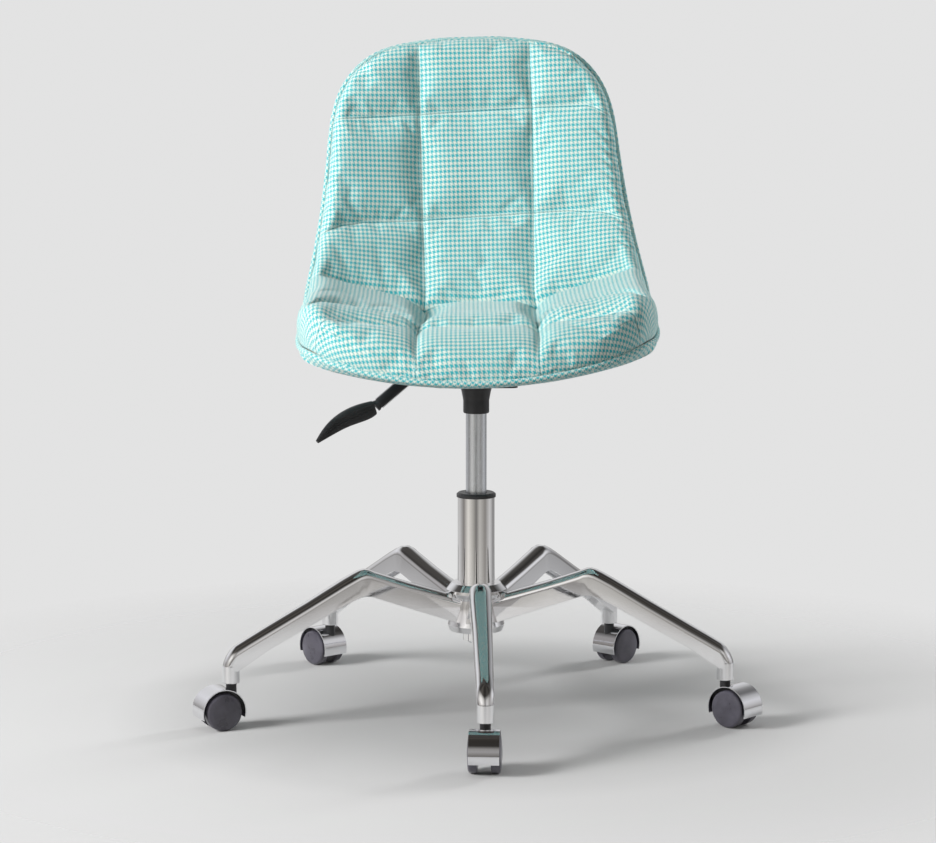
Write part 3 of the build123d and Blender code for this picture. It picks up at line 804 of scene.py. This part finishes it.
def relax_cover(o, last_ring):
    """Inflates the cover as cloth held at its seams and rim, then keeps what moved."""
    frames = 20
    limit = 6 * MM
    near = np.full(N_FACE, 1e9)
    for _, offset, _, _ in seam_offsets(X, S):
        near = np.minimum(near, np.abs(offset))
    pin = np.ones(len(o.data.vertices))
    pin[:N_FACE] = near < 1.2
    pin[N_FACE:N_FACE + (last_ring - 1) * COUNT] = 0
    rest = coordinates(o)
    temp = bpy.data.objects.new("cover_sim", o.data.copy())
    scene.collection.objects.link(temp)
    group = temp.vertex_groups.new(name="pin")
    group.add([int(i) for i in np.nonzero(pin)[0]], 1.0, "REPLACE")
    cloth = temp.modifiers.new("cloth", "CLOTH")
    s = cloth.settings
    s.quality = 6
    s.mass = 0.3
    s.tension_stiffness = s.compression_stiffness = 12
    s.shear_stiffness = 6
    s.bending_stiffness = 0.8
    s.tension_damping = s.compression_damping = 10
    s.air_damping = 3
    s.shrink_min = s.shrink_max = -0.014
    s.use_pressure = True
    s.uniform_pressure_force = 3.0
    s.vertex_group_mass = "pin"
    s.effector_weights.gravity = 0.0
    cloth.collision_settings.use_collision = False
    scene.frame_start, scene.frame_end = 1, frames
    for f in range(1, frames + 1):
        scene.frame_set(f)
    graph = bpy.context.evaluated_depsgraph_get()
    moved = coordinates(temp.evaluated_get(graph))
    scene.frame_set(1)
    mesh = temp.data
    bpy.data.objects.remove(temp)
    bpy.data.meshes.remove(mesh)
    shift = moved - rest
    size = np.linalg.norm(shift, axis=1)
    shift *= (limit * np.tanh(size / limit) / np.maximum(size, 1e-9))[:, None]
    print("cover: moved up to %.1f mm, mean %.1f mm" % (size.max() / MM, size.mean() / MM))
    set_coordinates(o, rest + shift)


relax_cover(cushion, len(wall))
subdivide(cushion)
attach(cushion, "seat")
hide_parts("seat_pad")

# ------------------------------------------------------------------ rear cover
rear_depth = layer_depth(X, S, COVER) - 0.5 - rim_drop(RIM_D, REAR_ROUND)
rear_rim = rear_depth[RIM_INDEX]
rear_foot = layer_depth(RX, RS, PAD) + 6.0
rings = []
for k in (0.25, 0.5, 0.75, 1.0):
    outward = np.full(COUNT, 0.8 * np.sin(math.pi * k) - 0.6 * k)
    rings.append((rear_rim + (rear_foot - rear_rim) * k, outward))
# Hollow that clears the lever when it is pulled up.
rear_depth -= 7.0 * np.exp(-(((X + 100) / 28) ** 2 + ((S - 470) / 30) ** 2) ** 2)
inner = np.minimum(np.maximum(layer_depth(X, S, SHELL) + 1.2, 0), rear_depth - 2.5)
verts, faces, uv = shell_piece(rear_depth, np.full(N_FACE, REAR_ROUND), rings, inner, 90.0, True)
uv[:, 1] += 0.9                 # another part of the same bolt
rear = new_object("rear_upholstery", place(verts), faces, PLAIN_CLOTH, uv)
subdivide(rear)
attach(rear, "seat")
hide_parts("rear_cover")


# ------------------------------------------------------------------ piping
def tube(name, line, radius, material, sides=10, closed=True):
    """Tube along a line in metres, with a cloth UV cut on the bias."""
    around = 0.022
    p = np.asarray(line)
    t = np.roll(p, -1, 0) - np.roll(p, 1, 0)
    if not closed:
        t[0], t[-1] = p[1] - p[0], p[-1] - p[-2]
    t /= np.linalg.norm(t, axis=1)[:, None]
    flow = np.concatenate([[0], np.cumsum(np.linalg.norm(np.diff(p, axis=0), axis=1))])
    n = np.cross(t[0], (0.3, 0.2, 1.0))
    n /= np.linalg.norm(n)
    verts, uv = [], []
    for k in range(len(p)):
        n = n - t[k] * (n @ t[k])
        n /= np.linalg.norm(n)
        b = np.cross(t[k], n)
        for m in range(sides):
            a = 2 * math.pi * m / sides
            verts.append(p[k] + radius * (math.cos(a) * n + math.sin(a) * b))
            uv.append((flow[k] * 0.7 + around * m / sides, around * m / sides - flow[k] * 0.7))
    faces = []
    for k in range(len(p) if closed else len(p) - 1):
        j = (k + 1) % len(p)
        for m in range(sides):
            q = (m + 1) % sides
            faces.append((k * sides + m, k * sides + q, j * sides + q, j * sides + m))
    if not closed:
        faces.append(tuple(range(sides))[::-1])
        faces.append(tuple((len(p) - 1) * sides + m for m in range(sides)))
    return new_object(name, verts, faces, material, uv)


WELT_RADIUS = 0.004
welt_depth = layer_depth(RX, RS, PAD) + 2.6
welt_out = 0.6 + 2.0 * upper * np.clip((np.abs(RX) - 60) / 60, 0, 1)
welt_line = place(rim_ring(welt_depth, welt_out[:, None]))[::2]
welt = tube("welt_cord", welt_line, WELT_RADIUS, PLAIN_CLOTH)
subdivide(welt)
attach(welt, "seat")
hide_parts("welt_piping")

# ------------------------------------------------------------------ lever grip
# Centre, height and thickness of the grip's sections, in millimetres.
GRIP = [((-141, -18.1, 411.8), 20.2, 13.0), ((-155, -24, 407), 24, 13), ((-176, -36, 399.5), 22, 11),
        ((-191, -45, 390.5), 18, 9), ((-202, -52, 381.5), 12, 7)]
grip = np.array([c for c, _, _ in GRIP])
grip_along = np.gradient(grip, axis=0)
grip_along /= np.linalg.norm(grip_along, axis=1)[:, None]
grip_side = np.cross(grip_along, (0, 0, 1))
grip_side /= np.linalg.norm(grip_side, axis=1)[:, None]
grip_side *= np.where(grip_side[:, 1] > 0, -1, 1)[:, None]
grip_up = np.cross(grip_side, grip_along)
grip_up *= np.where(grip_up[:, 2] < 0, -1, 1)[:, None]
tall = np.array([h for _, h, _ in GRIP])[:, None]
deep = np.array([w for _, _, w in GRIP])[:, None]
for k, lift in enumerate((-0.06, 0.12, 0.3)):
    knots = (grip + grip_side * deep * (0.49 - 0.25 * lift ** 2) + grip_up * tall * lift) * MM
    line = np.stack([np.interp(np.linspace(0, 4, 33), range(5), knots[:, c]) for c in range(3)], -1)
    ridge = tube("grip_ridge_%d" % (k + 1), line, 0.0008, MATERIALS["black_plastic"], 8, False)
    subdivide(ridge)
    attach(ridge, "lever")


# ------------------------------------------------------------------ set
def stage_piece(name, bm, material):
    """Stage object from a bmesh, which is freed."""
    mesh = bpy.data.meshes.new(name)
    bm.to_mesh(mesh)
    bm.free()
    mesh.materials.append(material)
    o = bpy.data.objects.new(name, mesh)
    scene.collection.objects.link(o)
    return o


# The floor has a painted shadow, darker under the chair, and fades into the backdrop around it.
g = Graph("paper_floor")
where = g.node("ShaderNodeTexCoord").outputs["Object"]
far = g.node("ShaderNodeVectorMath", operation="LENGTH")
g.put(far.inputs[0], where)
# Painted shadow: the floor's colour darkens towards the middle, under the chair.
shade = g.mix(g.span(far.outputs["Value"], 0.1, 0.5), (0.34, 0.34, 0.34, 1), (0.56, 0.56, 0.56, 1))
g.set(Base_Color=shade, Roughness=0.9, Alpha=g.span(far.outputs["Value"], 0.42, 1.0, 1.0, 0.0))
g.shader.inputs["Specular IOR Level"].default_value = 0.1
bm = bmesh.new()
bm.faces.new([bm.verts.new(c) for c in ((-6, -5, 0), (6, -5, 0), (6, 3, 0), (-6, 3, 0))])
stage_piece("floor", bm, g.material)

# An even glow all round, seen only directly.
g = Graph("backdrop_paper")
g.set(Base_Color=(0, 0, 0, 1), Emission_Color=(0.767, 0.767, 0.767, 1), Emission_Strength=1.0)
g.shader.inputs["Specular IOR Level"].default_value = 0.0
bm = bmesh.new()
bmesh.ops.create_icosphere(bm, subdivisions=3, radius=14)
bmesh.ops.reverse_faces(bm, faces=bm.faces)
dome = stage_piece("backdrop", bm, g.material)
dome.visible_diffuse = dome.visible_glossy = dome.visible_shadow = dome.visible_transmission = False

# The world gives soft light and the bands that the chrome mirrors.
world = bpy.data.worlds.new("studio")
world.use_nodes = True
scene.world = world
wt = world.node_tree
coords = wt.nodes.new("ShaderNodeTexCoord")
split = wt.nodes.new("ShaderNodeSeparateXYZ")
wt.links.new(coords.outputs["Generated"], split.inputs[0])


def ramp(value, stops):
    """Colour ramp over a 0-1 value."""
    n = wt.nodes.new("ShaderNodeValToRGB")
    while len(n.color_ramp.elements) < len(stops):
        n.color_ramp.elements.new(0.5)
    for e, (at, colour) in zip(n.color_ramp.elements, stops):
        e.position = at
        e.color = colour + (1,)
    wt.links.new(value, n.inputs[0])
    return n.outputs[0]


def world_math(operation, *values):
    """Math node in the world's tree."""
    n = wt.nodes.new("ShaderNodeMath")
    n.operation = operation
    for i, value in enumerate(values):
        if isinstance(value, bpy.types.NodeSocket):
            wt.links.new(value, n.inputs[i])
        else:
            n.inputs[i].default_value = value
    return n.outputs[0]


height = world_math("MULTIPLY_ADD", split.outputs[2], 0.5, 0.5)
forward = world_math("MULTIPLY", split.outputs[1], -1.0)
turn = world_math("DIVIDE", world_math("ARCTAN2", split.outputs[0], forward), 2 * math.pi)
turn = world_math("ADD", turn, 0.5)
sky = ramp(height, [(0.0, (0.72, 0.72, 0.72)), (0.40, (0.78, 0.78, 0.78)), (0.47, (0.34, 0.33, 0.32)),
                    (0.53, (0.62, 0.61, 0.60)), (0.66, (0.95, 0.95, 0.97)), (0.76, (0.80, 0.80, 0.80)),
                    (0.86, (0.10, 0.095, 0.09)), (1.0, (0.07, 0.065, 0.06))])
around = ramp(turn, [(0.0, (1.1, 1.1, 1.1)), (0.16, (1.1, 1.1, 1.12)), (0.27, (0.45, 0.43, 0.42)),
                     (0.36, (1.5, 1.46, 1.4)), (0.45, (0.8, 0.78, 0.74)), (0.50, (0.35, 0.34, 0.33)),
                     (0.56, (1.0, 0.98, 0.95)), (0.66, (0.5, 0.48, 0.46)), (0.76, (1.2, 1.2, 1.22)),
                     (0.86, (0.45, 0.45, 0.46)), (1.0, (1.1, 1.1, 1.1))])
both = wt.nodes.new("ShaderNodeMix")
both.data_type, both.blend_type = "RGBA", "MULTIPLY"
both.inputs[0].default_value = 1.0
wt.links.new(sky, both.inputs[6])
wt.links.new(around, both.inputs[7])
background = wt.nodes["Background"]
wt.links.new(both.outputs[2], background.inputs[0])
background.inputs[1].default_value = 0.74


def soft_light(name, location, target, size, power):
    """Rectangular light aimed at a point, not mirrored in the chrome."""
    light = bpy.data.lights.new(name, "AREA")
    light.shape = "RECTANGLE"
    light.size, light.size_y = size
    light.energy = power
    o = bpy.data.objects.new(name, light)
    scene.collection.objects.link(o)
    o.location = location
    o.visible_glossy = False
    o.rotation_euler = (Vector(target) - Vector(location)).to_track_quat("-Z", "Y").to_euler()


soft_light("key", (-3.0, -1.4, 1.8), (0, 0, 0.6), (1.2, 1.4), 190)
soft_light("overhead", (-0.2, -0.4, 3.0), (0, 0, 0.5), (1.6, 1.4), 12)
soft_light("edge", (2.2, 1.7, 1.1), (0, 0, 0.7), (0.6, 1.6), 60)

camera_data = bpy.data.cameras.new("camera")
camera_data.lens = 117.51
camera_data.sensor_fit = "HORIZONTAL"
camera_data.sensor_width = 36
camera = bpy.data.objects.new("camera", camera_data)
camera.location = (-0.01104, -4.0697, 0.9402)
camera.rotation_euler = (math.radians(90 - 7.666), 0, 0)
scene.collection.objects.link(camera)
scene.camera = camera
